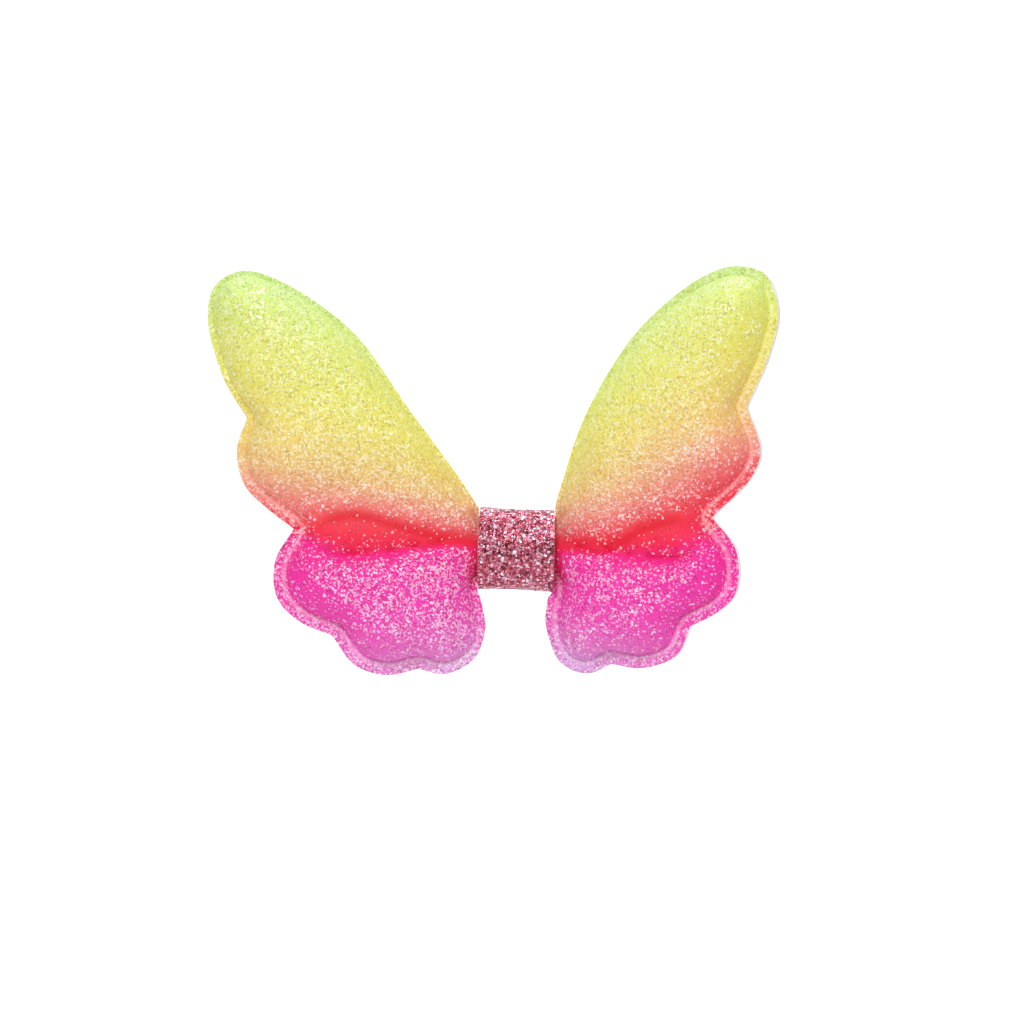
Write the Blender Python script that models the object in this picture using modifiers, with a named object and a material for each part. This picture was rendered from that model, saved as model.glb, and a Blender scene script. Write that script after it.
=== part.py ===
"""Fairy-wing hair clip: one padded glitter-fabric butterfly, gathered at its waist by a band onto a sprung clip.

Metres, +Z up. X runs across the wings, -Y faces the viewer, and the origin is the middle of the clip's
grip: the centre of the band, on the lined inner face of the upper jaw.
"""

import math

import bmesh
import bpy
import numpy as np
from mathutils import Matrix, Vector
from mathutils.geometry import delaunay_2d_cdt

MM = 0.001
UPPER, LOWER = -1, 1  # the side of the grip that a jaw lies on, along Y

# Wing fabric, in its flat state: u runs across the wings, w up them, n from the backing to the front.
FRONT_CLOTH = 0.5 * MM
BACK_CLOTH = 0.4 * MM
LAYER_GAP = 0.1 * MM
WADDING_GAP = 0.45 * MM
WADDING_INSET = 0.7 * MM
SEAM_WIDTH = 1.8 * MM
RIM_TOP = BACK_CLOTH + LAYER_GAP + FRONT_CLOTH
PAD_EDGE = 5.5 * MM
UPPER_PUFF = 5.0 * MM
LOWER_PUFF = 4.4 * MM
WAIST_PUFF = 2.2 * MM
CREASE_WIDTH = 2.6 * MM
CREASE_SHARE = 0.6
WAIST_HALF = 3.3 * MM
BACK_PLANE_Y = -2.7 * MM
FOLD_RADIUS = 8.0 * MM
FOLD_START = 4.5 * MM
FOLD_END = 7.6 * MM
LEFT_FOLD = math.radians(8)
RIGHT_FOLD = math.radians(22)

# Each wing's edge from the top of the waist round to its foot, in millimetres outwards and up.
# A run is one smooth lobe, and runs meet at the notches.
LEFT_EDGE = (
    ((5.3, 4.4), (5.6, 6.2), (7.5, 9.1), (14.2, 18.2), (21.9, 28.6), (31.7, 35.2), (36.3, 36.2), (39.6, 34.4),
     (40.6, 30.4), (38.5, 22.2), (35.5, 17.1)),
    ((35.5, 17.1), (36.8, 13.0), (35.8, 8.4), (32.8, 5.3), (29.4, 2.7)),
    ((29.4, 2.7), (31.8, -1.4), (31.6, -6.2), (28.6, -9.4), (24.4, -11.2)),
    ((24.4, -11.2), (21.4, -15.1), (17.2, -16.4), (13.1, -15.6)),
    ((13.1, -15.6), (9.6, -16.3), (5.6, -14.2), (4.1, -10.3), (4.8, -6.8), (5.5, -5.2), (5.3, -4.4)),
)
RIGHT_EDGE = (
    ((5.3, 4.4), (5.2, 6.2), (6.2, 9.1), (9.8, 18.2), (16.8, 28.5), (25.3, 35.1), (30.2, 36.6), (34.3, 35.4),
     (36.0, 30.6), (34.6, 24.6), (31.7, 18.4)),
    ((31.7, 18.4), (33.6, 12.8), (32.4, 9.4), (27.0, 4.2)),
    ((27.0, 4.2), (30.3, -0.1), (30.2, -5.6), (27.8, -8.0), (24.0, -9.9)),
    ((24.0, -9.9), (22.2, -13.6), (17.4, -15.4), (13.0, -14.9)),
    ((13.0, -14.9), (9.8, -16.2), (5.6, -14.6), (3.7, -9.6), (3.8, -7.2), (4.8, -5.9), (5.5, -5.2), (5.3, -4.4)),
)
EDGE_STEP = 1.5 * MM
SHEET_SPACING = 2.4 * MM

# The band: a strip wound once round the waist and the upper jaw, its ends lapped at the back.
BAND_WIDTH = 10.0 * MM
BAND_THICKNESS = 0.8 * MM
BAND_CENTRE_Y = -2.6 * MM
BAND_BACK = 2.8 * MM
BAND_FRONT = 3.75 * MM
BAND_HALF_HEIGHT = 4.45 * MM
BAND_BACK_POWER = 5.0
BAND_FRONT_POWER = 2.2
BAND_LAP = math.radians(25)
BAND_LAP_RAMP = math.radians(40)
BAND_LAP_GAP = 0.3 * MM
BAND_FLARE = 0.045
GLUE_FILM = 0.1 * MM

# The thread that gathers the waist under the band.
THREAD = 0.35 * MM
THREAD_TURNS = 5
THREAD_PITCH = 0.8 * MM
THREAD_CENTRE_Y = -3.0 * MM
THREAD_BACK = 0.65 * MM
THREAD_FRONT = 2.9 * MM
THREAD_HALF_HEIGHT = 3.85 * MM
THREAD_BACK_POWER = 5.0
THREAD_FRONT_POWER = 2.3

# The clip: two stamped jaws on a rivet, opened at their handles by hand and closed by a torsion spring.
PIN_X = 10.0 * MM
PIN_Y = 1.9 * MM
STEEL = 0.6 * MM
JAW_FACE = 2.3 * MM  # from the rivet's axis to each jaw's inner face
JAW_LENGTH = 32.0 * MM
HANDLE_LENGTH = 12.5 * MM
HANDLE_START = 2.0 * MM
HANDLE_ANGLE = math.radians(16)
LOWER_JAW_TILT = math.radians(6.5)
UPPER_HALF_WIDTH = 3.5 * MM
LOWER_HALF_WIDTH = 2.9 * MM
CORNER_RADIUS = 1.8 * MM
JAW_EDGE = 0.08 * MM
EAR_RADIUS = 1.7 * MM
EAR_THICKNESS = 0.45 * MM
UPPER_EAR_Z = 3.22 * MM
LOWER_EAR_Z = 2.55 * MM
RIVET_RADIUS = 0.6 * MM
RIVET_HOLE = 0.66 * MM
RIVET_HEAD = 1.1 * MM
RIVET_HEAD_Z = 3.6 * MM
RIVET_HEAD_HEIGHT = 0.5 * MM
LIP_RADIUS = 0.7 * MM
LIP_HEIGHT = 0.75 * MM
TOOTH_PITCH = 1.25 * MM
TEETH = 5

SPRING_WIRE = 0.5 * MM
SPRING_RADIUS = 1.36 * MM
SPRING_WINDINGS = 4
SPRING_HALF_LENGTH = 1.3 * MM
SPRING_LEG = 7.2 * MM
SPRING_LEG_ANGLE = HANDLE_ANGLE

RIBBON = 0.3 * MM
RIBBON_HALF_WIDTH = 3.3 * MM
RIBBON_END_X = 6.8 * MM
RIBBON_TIP_X = -22.2 * MM
GLUE_PAD_THICKNESS = 0.6 * MM

parts = bpy.data.collections.new("fairy_wings")
cutters = bpy.data.collections.new("cutters")


# ---------------------------------------------------------------- objects, materials and modifiers

def clear_scene():
    for obj in list(bpy.data.objects):
        bpy.data.objects.remove(obj)
    bpy.context.scene.collection.children.link(parts)
    bpy.context.scene.collection.children.link(cutters)


def material(name, colour, roughness, metallic=0.0):
    made = bpy.data.materials.get(name) or bpy.data.materials.new(name)
    made.use_nodes = True
    made.diffuse_color = (*colour, 1.0)
    shader = made.node_tree.nodes["Principled BSDF"]
    shader.inputs["Base Color"].default_value = (*colour, 1.0)
    shader.inputs["Roughness"].default_value = roughness
    shader.inputs["Metallic"].default_value = metallic
    return made


def front_fabric():
    return material("printed_glitter_fabric", (0.93, 0.45, 0.30), 0.45)


def backing_fabric():
    return material("backing_fabric", (0.93, 0.90, 0.92), 0.9)


def wadding():
    return material("wadding", (0.95, 0.95, 0.95), 1.0)


def glitter_leatherette():
    return material("glitter_leatherette", (0.62, 0.22, 0.28), 0.35)


def sewing_thread():
    return material("sewing_thread", (0.90, 0.20, 0.45), 0.6)


def hot_glue():
    return material("hot_glue", (0.93, 0.91, 0.84), 0.35)


def satin_ribbon():
    return material("satin_ribbon", (0.90, 0.28, 0.52), 0.45)


def nickel_steel():
    return material("nickel_steel", (0.72, 0.72, 0.73), 0.25, 1.0)


def new_object(name, data, finish, collection=parts):
    obj = bpy.data.objects.new(name, data)
    collection.objects.link(obj)
    if finish:
        data.materials.append(finish)
    return obj


def mesh_object(name, bm, finish, collection=parts):
    data = bpy.data.meshes.new(name)
    bmesh.ops.recalc_face_normals(bm, faces=bm.faces)
    bm.to_mesh(data)
    bm.free()
    return new_object(name, data, finish, collection)


def smooth(obj, angle=40):
    obj.data.shade_smooth()
    obj.data.set_sharp_from_angle(angle=math.radians(angle))


def solidify(obj, thickness, offset=0.0):
    modifier = obj.modifiers.new("thickness", "SOLIDIFY")
    modifier.thickness = thickness
    modifier.offset = offset
    modifier.use_even_offset = True


def bevel(obj, width, segments=1):
    modifier = obj.modifiers.new("edges", "BEVEL")
    modifier.width = width
    modifier.segments = segments
    modifier.limit_method = "ANGLE"
    modifier.angle_limit = math.radians(50)


def boolean(obj, other, operation):
    other.hide_render = True
    other.display_type = "WIRE"
    modifier = obj.modifiers.new(other.name, "BOOLEAN")
    modifier.operation = operation
    modifier.solver = "EXACT"
    modifier.object = other


# ---------------------------------------------------------------- curves and outlines

def smooth_run(points, step):
    """Points about a step apart on a centripetal Catmull-Rom curve through these; the last is left out."""
    ends = [2 * points[0] - points[1], *points, 2 * points[-1] - points[-2]]
    found = []
    for before, start, end, after in zip(ends, ends[1:], ends[2:], ends[3:]):
        knots = np.cumsum([0.0] + [math.sqrt(np.linalg.norm(b - a))
                                   for a, b in ((before, start), (start, end), (end, after))])
        count = max(1, round(np.linalg.norm(end - start) / step))
        for t in np.linspace(knots[1], knots[2], count, endpoint=False):
            layer = [before, start, end, after]
            for depth in (1, 2, 3):
                last_layer, layer = layer, []
                for i in range(4 - depth):
                    first, span = (i, depth) if depth < 3 else (1, 1)
                    low, high = knots[first], knots[first + span]
                    layer.append(((high - t) * last_layer[i] + (t - low) * last_layer[i + 1]) / (high - low))
            found.append(layer[0])
    return found


def wing_edge(runs, side, step):
    points = []
    for run in runs:
        points += smooth_run([np.array((side * u, w)) * MM for u, w in run], step)
    points.append(np.array((side * runs[-1][-1][0], runs[-1][-1][1])) * MM)
    return points


def butterfly_outline(step):
    """The die-cut edge of the whole butterfly, anticlockwise from the foot of the right wing."""
    right = wing_edge(RIGHT_EDGE, 1, step)[::-1]
    left = wing_edge(LEFT_EDGE, -1, step)
    top, foot = np.array((0.0, WAIST_HALF)), np.array((0.0, -WAIST_HALF))
    over_waist = smooth_run([right[-1], top, left[0]], step)[1:]
    under_waist = smooth_run([left[-1], foot, right[0]], step)[1:]
    return np.array(right + over_waist + left + under_waist)


def distance_to_line(points, line):
    """How far each point is from a polyline."""
    nearest = np.full(len(points), np.inf)
    for a, b in zip(line[:-1], line[1:]):
        along = b - a
        share = np.clip((points - a) @ along / max(along @ along, 1e-18), 0, 1)
        nearest = np.minimum(nearest, np.linalg.norm(points - a - share[:, None] * along, axis=1))
    return nearest


def inside(points, outline):
    """Which points the closed outline goes round."""
    crossings = np.zeros(len(points), int)
    for a, b in zip(outline, np.roll(outline, -1, axis=0)):
        spans = (a[1] > points[:, 1]) != (b[1] > points[:, 1])
        rise = b[1] - a[1] if b[1] != a[1] else 1.0
        crossings += spans & (points[:, 0] < a[0] + (points[:, 1] - a[1]) * (b[0] - a[0]) / rise)
    return crossings % 2 == 1


def inset(outline, distance):
    """The outline moved inwards, without the points that a tight bend would put too near the edge."""
    tangent = np.roll(outline, -1, axis=0) - np.roll(outline, 1, axis=0)
    normal = np.column_stack((-tangent[:, 1], tangent[:, 0])) / np.linalg.norm(tangent, axis=1)[:, None]
    moved = outline + distance * normal
    closed = np.vstack((outline, outline[:1]))
    return moved[distance_to_line(moved, closed) > 0.93 * distance]


# ---------------------------------------------------------------- the padded wings

def fold(u, w, n):
    """Where a point of the flat butterfly goes: each wing turns forwards past the edge of the band."""
    side = 1 if u >= 0 else -1
    angle = RIGHT_FOLD if side > 0 else LEFT_FOLD
    run = max(abs(u) - FOLD_START, 0.0)
    turned = min(run / FOLD_RADIUS, angle)
    straight = run - turned * FOLD_RADIUS
    across = abs(u) - run + FOLD_RADIUS * math.sin(turned) + straight * math.cos(turned)
    forward = FOLD_RADIUS * (1 - math.cos(turned)) + straight * math.sin(turned)
    return Vector((side * (across - n * math.sin(turned)), BACK_PLANE_Y - forward - n * math.cos(turned), w))


def rise(share):
    share = np.clip(share, 0, 1)
    return share * share * (3 - 2 * share)


def puff_height(points, edge, rim):
    """Height of the padded part over its rim: a dome that starts this far in from the edge, with a crease."""
    dome = np.sqrt(1 - (1 - np.clip((distance_to_line(points, edge) - rim) / PAD_EDGE, 0, 1)) ** 2)
    puff = LOWER_PUFF + (UPPER_PUFF - LOWER_PUFF) * rise((points[:, 1] - 1 * MM) / (6 * MM))
    creases = [np.array(((0.0, 0.0), (side * runs[1][-1][0] * MM, runs[1][-1][1] * MM)))
               for runs, side in ((LEFT_EDGE, -1), (RIGHT_EDGE, 1))]
    off_crease = np.minimum(*(distance_to_line(points, crease) for crease in creases))
    puff = puff * (1 - CREASE_SHARE * np.exp(-((off_crease / CREASE_WIDTH) ** 2)))
    beside_band = rise((np.abs(points[:, 0]) - 5 * MM) / (9 * MM))
    return dome * (WAIST_PUFF + (puff - WAIST_PUFF) * beside_band)


def lattice(outline, spacing):
    """Interior points clear of the outline: a triangular grid, and closer columns where the wings fold."""
    low, high = outline.min(axis=0), outline.max(axis=0)
    row_height = spacing * math.sqrt(0.75)
    points = []
    for i, w in enumerate(np.arange(low[1], high[1], row_height)):
        row = np.arange(low[0] + (i % 2) * spacing / 2, high[0], spacing)
        in_fold = (np.abs(row) > FOLD_START - spacing / 2) & (np.abs(row) < FOLD_END + spacing / 2)
        columns = np.linspace(FOLD_START, FOLD_END, 4)
        points += [(u, w) for u in (*row[~in_fold], *columns, *-columns)]
    points = np.array(points)
    closed = np.vstack((outline, outline[:1]))
    return points[inside(points, outline) & (distance_to_line(points, closed) > 0.35 * spacing)]


def fabric_layer(name, outline, rings, heights, finish):
    """A closed layer of the folded butterfly; heights gives its back and front over the backing plane."""
    points = np.vstack((outline, *rings))
    loop = list(range(len(outline)))
    corners, _, faces, _, _, sources = delaunay_2d_cdt([Vector(p) for p in points], [], [loop], 0, 1e-7, True)
    flat = np.array([tuple(c) for c in corners])
    low, high = heights(flat)
    bm = bmesh.new()
    verts = [bm.verts.new((u, w, n)) for (u, w), n in zip(flat, low)]
    front_of = {(v.co.x, v.co.y): n for v, n in zip(verts, high)}
    for face, source in zip(faces, sources):
        if source:
            bm.faces.new([verts[i] for i in face])
    bmesh.ops.delete(bm, geom=[v for v in verts if not v.link_faces], context="VERTS")
    made = bmesh.ops.extrude_face_region(bm, geom=bm.faces[:])["geom"]
    for v in (g for g in made if isinstance(g, bmesh.types.BMVert)):
        v.co.z = front_of[(v.co.x, v.co.y)]
    for v in bm.verts:
        v.co = fold(*v.co)
    obj = mesh_object(name, bm, finish)
    smooth(obj, 60)
    return obj


def wings():
    outline = butterfly_outline(EDGE_STEP)
    edge = np.vstack((outline, outline[:1]))
    seam, shoulder = inset(outline, SEAM_WIDTH), inset(outline, SEAM_WIDTH + 1.2 * MM)
    columns = lattice(outline, SHEET_SPACING)
    clear = columns[distance_to_line(columns, edge) > SEAM_WIDTH + 2.4 * MM]

    def cover_heights(points):
        front = RIM_TOP + puff_height(points, edge, SEAM_WIDTH)
        return front - FRONT_CLOTH, front

    def padding_heights(points):
        bottom = BACK_CLOTH + 1.5 * LAYER_GAP
        puff = puff_height(points, edge, SEAM_WIDTH + WADDING_INSET)
        return np.full(len(points), bottom), bottom + np.maximum(puff - WADDING_GAP, 0.15 * MM)

    def backing_heights(points):
        return np.zeros(len(points)), np.full(len(points), BACK_CLOTH)

    fabric_layer("wing_cover", outline, (seam, shoulder, clear), cover_heights, front_fabric())
    fabric_layer("wing_padding", inset(outline, SEAM_WIDTH + WADDING_INSET),
                 (inset(outline, SEAM_WIDTH + 1.8 * MM), clear), padding_heights, wadding())
    fabric_layer("wing_backing", outline, (columns,), backing_heights, backing_fabric())


# ---------------------------------------------------------------- the band, its glue and the waist thread

def rounded_loop(angle, back, front, half_height, back_power, front_power):
    """A point (y, z) of a rounded D about its centre; angle 0 is straight back and a quarter turn is up."""
    c, s = math.cos(angle), math.sin(angle)
    depth, power = (back, back_power) if c >= 0 else (front, front_power)
    return (math.copysign(depth * abs(c) ** (2 / power), c),
            math.copysign(half_height * abs(s) ** (2 / power), s))


def band_point(angle, x):
    """The band's inner face, which steps outwards where its last stretch laps over its first."""
    y, z = rounded_loop(angle, BAND_BACK, BAND_FRONT, BAND_HALF_HEIGHT, BAND_BACK_POWER, BAND_FRONT_POWER)
    flare = BAND_FLARE * (2 * x / BAND_WIDTH) ** 2
    z *= 1 + flare
    if y < 0:
        y *= 1 + flare
    if angle > math.pi:
        lapped = float(rise((angle - 2 * math.pi + BAND_LAP) / BAND_LAP_RAMP + 1))
        lift = (BAND_THICKNESS + BAND_LAP_GAP) * lapped
        outwards = Vector((y / BAND_BACK**2, z / BAND_HALF_HEIGHT**2)).normalized()
        outwards = outwards.lerp(Vector((1.0, 0.0)), lapped).normalized()
        y, z = y + lift * outwards.x, z + lift * outwards.y
    return Vector((x, BAND_CENTRE_Y + y, z))


def centre_band():
    around, across = 72, 4
    bm = bmesh.new()
    bmesh.ops.create_grid(bm, x_segments=around, y_segments=across, size=0.5)
    for v in bm.verts:
        angle = -BAND_LAP + (v.co.x + 0.5) * (2 * math.pi + 2 * BAND_LAP)
        v.co = band_point(angle, v.co.y * BAND_WIDTH)
    band = mesh_object("centre_band", bm, glitter_leatherette())
    front = min(band.data.polygons, key=lambda face: face.center.y)
    if front.normal.y > 0:
        band.data.flip_normals()
    solidify(band, BAND_THICKNESS, 1.0)
    smooth(band)


def flat_block(name, centre, size, finish, rounding):
    bm = bmesh.new()
    bmesh.ops.create_cube(bm, size=1.0)
    bmesh.ops.scale(bm, vec=size, verts=bm.verts)
    block = mesh_object(name, bm, finish)
    block.location = centre
    bevel(block, rounding, 2)
    return block


def glue():
    """The hot glue that holds the band's lap, and the pad of it between the wings and the clip."""
    film_y = BAND_CENTRE_Y + BAND_BACK + BAND_THICKNESS + BAND_LAP_GAP / 2
    flat_block("band_glue", (0, film_y, 0), (8.6 * MM, GLUE_FILM, 4.2 * MM), hot_glue(), 0.03 * MM)
    pad_y = PIN_Y - JAW_FACE - STEEL - 0.1 * MM - RIBBON - 0.1 * MM - GLUE_PAD_THICKNESS / 2
    flat_block("clip_glue_pad", (0, pad_y, 0), (8.8 * MM, GLUE_PAD_THICKNESS, 5.8 * MM), hot_glue(), 0.2 * MM)


def wire(name, points, diameter, finish, resolution=2):
    curve = bpy.data.curves.new(name, "CURVE")
    curve.dimensions = "3D"
    curve.bevel_depth = diameter / 2
    curve.bevel_resolution = resolution
    curve.use_fill_caps = True
    spline = curve.splines.new("POLY")
    spline.points.add(len(points) - 1)
    for point, place in zip(spline.points, points):
        point.co = (*place, 1.0)
        point.tilt = 0.0
    return new_object(name, curve, finish)


def waist_thread():
    per_turn = 20
    points = []
    for i in range(THREAD_TURNS * per_turn + 1):
        turns = i / per_turn
        y, z = rounded_loop(2 * math.pi * turns, THREAD_BACK, THREAD_FRONT, THREAD_HALF_HEIGHT,
                            THREAD_BACK_POWER, THREAD_FRONT_POWER)
        points.append(((turns - THREAD_TURNS / 2) * THREAD_PITCH, THREAD_CENTRE_Y + y, z))
    wire("waist_thread", points, THREAD, sewing_thread(), 1)


# ---------------------------------------------------------------- the clip

def rounded_path(points, radius, steps=5):
    """A polyline whose inner corners are arcs of this radius."""
    path = [Vector(points[0])]
    for before, corner, after in zip(points, points[1:], points[2:]):
        before, corner, after = Vector(before), Vector(corner), Vector(after)
        into, out = (before - corner).normalized(), (after - corner).normalized()
        half = into.angle(out) / 2
        centre = corner + (into + out).normalized() * radius / math.sin(half)
        first = (corner + into * radius / math.tan(half) - centre).normalized()
        last = (corner + out * radius / math.tan(half) - centre).normalized()
        path += [centre + radius * first.slerp(last, i / steps) for i in range(steps + 1)]
    return path + [Vector(points[-1])]


def stations(path, corners):
    """Distances along a path at which a strip whose two ends have these corner radii needs a row."""
    lengths = np.cumsum([0.0] + [(b - a).length for a, b in zip(path, path[1:])])
    rounds = [[radius * (1 - math.cos(math.radians(a))) for a in (0, 30, 60, 90)] for radius in corners]
    rows = {s for s in lengths if corners[0] < s < lengths[-1] - corners[1]}
    rows |= set(rounds[0]) | {lengths[-1] - s for s in rounds[1]}
    return lengths, sorted(rows)


def strip(name, path, half_width, corners, thickness, finish):
    """A flat strip bent along a path in the XY plane, its width along Z and its ends' corners rounded."""
    lengths, rows = stations(path, corners)
    bm = bmesh.new()
    bmesh.ops.create_grid(bm, x_segments=len(rows) - 1, y_segments=1, size=0.5)
    for v in bm.verts:
        s = rows[round((v.co.x + 0.5) * (len(rows) - 1))]
        half = half_width
        for from_end, radius in zip((s, lengths[-1] - s), corners):
            if from_end < radius:
                half = half_width - radius + math.sqrt(radius**2 - (radius - from_end) ** 2)
        i = min(int(np.searchsorted(lengths, s, side="right")) - 1, len(path) - 2)
        place = path[i].lerp(path[i + 1], (s - lengths[i]) / (lengths[i + 1] - lengths[i]))
        v.co = (place.x, place.y, math.copysign(half, v.co.y))
    obj = mesh_object(name, bm, finish)
    solidify(obj, thickness)
    return obj


def ear(name, z, side):
    """A tab that comes down from the jaw's edge and goes round the rivet."""
    bm = bmesh.new()
    bmesh.ops.create_cone(bm, cap_ends=True, segments=28, radius1=EAR_RADIUS, radius2=EAR_RADIUS,
                          depth=EAR_THICKNESS)
    for v in bm.verts:
        if v.co.y * side > 0.2 * MM:
            v.co.x = math.copysign(EAR_RADIUS, v.co.x) if abs(v.co.x) > 0.1 * MM else v.co.x
            v.co.y = side * (JAW_FACE + STEEL / 2)
    bmesh.ops.remove_doubles(bm, verts=bm.verts, dist=1e-6)
    bmesh.ops.dissolve_degenerate(bm, edges=bm.edges, dist=1e-6)
    tab = mesh_object(name, bm, None, cutters)
    tab.location.z = z
    return tab


def rivet_hole(name, reach):
    bm = bmesh.new()
    bmesh.ops.create_cone(bm, cap_ends=True, segments=32, radius1=RIVET_HOLE, radius2=RIVET_HOLE, depth=reach)
    return mesh_object(name, bm, None, cutters)


def tooth_gaps(x, y):
    """V-shaped cuts across the lower jaw's lip, one between each two teeth."""
    gaps = bmesh.new()
    for i in range(TEETH + 1):
        before = set(gaps.verts)
        bmesh.ops.create_cone(gaps, cap_ends=True, segments=4, radius1=0.42 * MM, radius2=0.42 * MM, depth=3 * MM)
        new = [v for v in gaps.verts if v not in before]
        bmesh.ops.rotate(gaps, verts=new, cent=(0, 0, 0), matrix=Matrix.Rotation(math.pi / 2, 3, "Y"))
        bmesh.ops.translate(gaps, verts=new, vec=(x, y, (i - TEETH / 2) * TOOTH_PITCH))
    return mesh_object("tooth_gaps", gaps, None, cutters)


def handle_end(side):
    reach = HANDLE_LENGTH - HANDLE_START
    return (HANDLE_LENGTH, side * (JAW_FACE + STEEL / 2 + reach * math.tan(HANDLE_ANGLE)))


def jaw(name, side, path, half_width, ear_z, corners):
    """A jaw in the frame of the rivet that it turns about."""
    obj = strip(name, path, half_width, corners, STEEL, nickel_steel())
    bevel(obj, JAW_EDGE)
    for which, z in (("left", -ear_z), ("right", ear_z)):
        boolean(obj, ear(f"{name}_{which}_ear", z, side), "UNION")
    boolean(obj, rivet_hole(f"{name}_hole", 10 * MM), "DIFFERENCE")
    return obj


def clip():
    rivet = bpy.data.objects.new("rivet_axis", None)
    rivet.location = (PIN_X, PIN_Y, 0)
    lower_axis = bpy.data.objects.new("lower_jaw_axis", None)
    lower_axis.parent = rivet
    lower_axis.rotation_euler.z = LOWER_JAW_TILT
    parts.objects.link(rivet)
    parts.objects.link(lower_axis)

    middle = JAW_FACE + STEEL / 2
    upper_path = rounded_path([(*handle_end(UPPER), 0), (HANDLE_START, UPPER * middle, 0),
                               (-JAW_LENGTH, UPPER * middle, 0)], 2 * MM)
    upper = jaw("clip_upper_jaw", UPPER, upper_path, UPPER_HALF_WIDTH, UPPER_EAR_Z,
                (CORNER_RADIUS, CORNER_RADIUS))
    smooth(upper)
    lip_x = -JAW_LENGTH + 0.4 * MM
    lower_path = rounded_path([(*handle_end(LOWER), 0), (HANDLE_START, LOWER * middle, 0),
                               (lip_x, LOWER * middle, 0), (lip_x, LOWER * middle - LIP_HEIGHT, 0)], LIP_RADIUS)
    lower = jaw("clip_lower_jaw", LOWER, lower_path, LOWER_HALF_WIDTH, LOWER_EAR_Z,
                (CORNER_RADIUS, 0.0))
    boolean(lower, tooth_gaps(lip_x, LOWER * middle - LIP_HEIGHT), "DIFFERENCE")
    smooth(lower)
    for obj in list(cutters.objects):
        obj.parent = lower_axis if "lower" in obj.name or obj.name == "tooth_gaps" else rivet
    upper.parent = rivet
    lower.parent = lower_axis
    return rivet


def pivot_rivet(axis):
    """A shank with a domed head at each end, turned from its own half profile."""
    profile = [(RIVET_RADIUS, 0.0), (RIVET_RADIUS, RIVET_HEAD_Z), (RIVET_HEAD, RIVET_HEAD_Z),
               (RIVET_HEAD, RIVET_HEAD_Z + 0.15 * MM), (0.6 * RIVET_HEAD, RIVET_HEAD_Z + 0.9 * RIVET_HEAD_HEIGHT),
               (0.0, RIVET_HEAD_Z + RIVET_HEAD_HEIGHT)]
    whole = [(r, z) for r, z in reversed(profile)] + [(r, -z) for r, z in profile[1:]]
    data = bpy.data.meshes.new("clip_rivet")
    data.from_pydata([(r, 0, z) for r, z in whole], [(i, i + 1) for i in range(len(whole) - 1)], [])
    obj = new_object("clip_rivet", data, nickel_steel())
    screw = obj.modifiers.new("turned", "SCREW")
    screw.steps = screw.render_steps = 28
    screw.use_merge_vertices = True
    screw.merge_threshold = 0.01 * MM
    screw.use_smooth_shade = False
    obj.parent = axis


def torsion_spring(axis):
    """Coil round the rivet, with a leg along the inside of each handle."""
    upper_leg = Vector((math.cos(SPRING_LEG_ANGLE), -math.sin(SPRING_LEG_ANGLE), 0))
    lower_angle = SPRING_LEG_ANGLE + LOWER_JAW_TILT
    lower_leg = Vector((math.cos(lower_angle), math.sin(lower_angle), 0))
    start = -(math.pi / 2 + SPRING_LEG_ANGLE)
    turn = 2 * math.pi * SPRING_WINDINGS - math.pi - SPRING_LEG_ANGLE - lower_angle
    count = round(turn / (2 * math.pi) * 16)
    coil = [Vector((SPRING_RADIUS * math.cos(start - turn * i / count),
                    SPRING_RADIUS * math.sin(start - turn * i / count),
                    SPRING_HALF_LENGTH * (1 - 2 * i / count))) for i in range(count + 1)]
    points = [coil[0] + upper_leg * SPRING_LEG, coil[0] + upper_leg * SPRING_LEG / 2, *coil,
              coil[-1] + lower_leg * SPRING_LEG / 2, coil[-1] + lower_leg * SPRING_LEG]
    wire("clip_spring", points, SPRING_WIRE, nickel_steel(), 2).parent = axis


def clip_ribbon():
    """The ribbon glued along the upper jaw's front, round its tip and back along the grip."""
    jaw_middle = PIN_Y - JAW_FACE - STEEL / 2
    away = STEEL / 2 + 0.1 * MM + RIBBON / 2
    turn = [(RIBBON_TIP_X - away * math.sin(a), jaw_middle - away * math.cos(a), 0)
            for a in np.linspace(0, math.pi, 9)]
    path = [(RIBBON_END_X, jaw_middle - away, 0), *turn, (RIBBON_END_X - 1 * MM, jaw_middle + away, 0)]
    strip("clip_ribbon", [Vector(p) for p in path], RIBBON_HALF_WIDTH, (0.0, 0.0), RIBBON,
          satin_ribbon())


def main():
    clear_scene()
    wings()
    centre_band()
    glue()
    waist_thread()
    axis = clip()
    pivot_rivet(axis)
    torsion_spring(axis)
    clip_ribbon()


main()
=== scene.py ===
import math

import bpy
import numpy as np
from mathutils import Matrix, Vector, noise
from mathutils.geometry import delaunay_2d_cdt


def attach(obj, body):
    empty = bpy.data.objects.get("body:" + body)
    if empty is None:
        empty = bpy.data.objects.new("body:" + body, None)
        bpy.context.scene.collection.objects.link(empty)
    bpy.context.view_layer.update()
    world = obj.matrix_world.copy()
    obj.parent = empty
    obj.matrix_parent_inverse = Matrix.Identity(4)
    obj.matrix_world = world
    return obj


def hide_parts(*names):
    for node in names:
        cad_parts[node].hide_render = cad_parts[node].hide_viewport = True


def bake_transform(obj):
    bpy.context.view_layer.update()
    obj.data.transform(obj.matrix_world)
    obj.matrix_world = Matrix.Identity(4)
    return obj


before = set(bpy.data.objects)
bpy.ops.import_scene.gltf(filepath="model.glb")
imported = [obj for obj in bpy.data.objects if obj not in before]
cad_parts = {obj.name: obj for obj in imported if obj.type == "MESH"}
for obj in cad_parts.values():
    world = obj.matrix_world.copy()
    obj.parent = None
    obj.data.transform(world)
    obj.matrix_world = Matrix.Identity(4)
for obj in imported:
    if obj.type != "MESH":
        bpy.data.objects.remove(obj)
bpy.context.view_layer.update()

MM = 0.001

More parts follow.
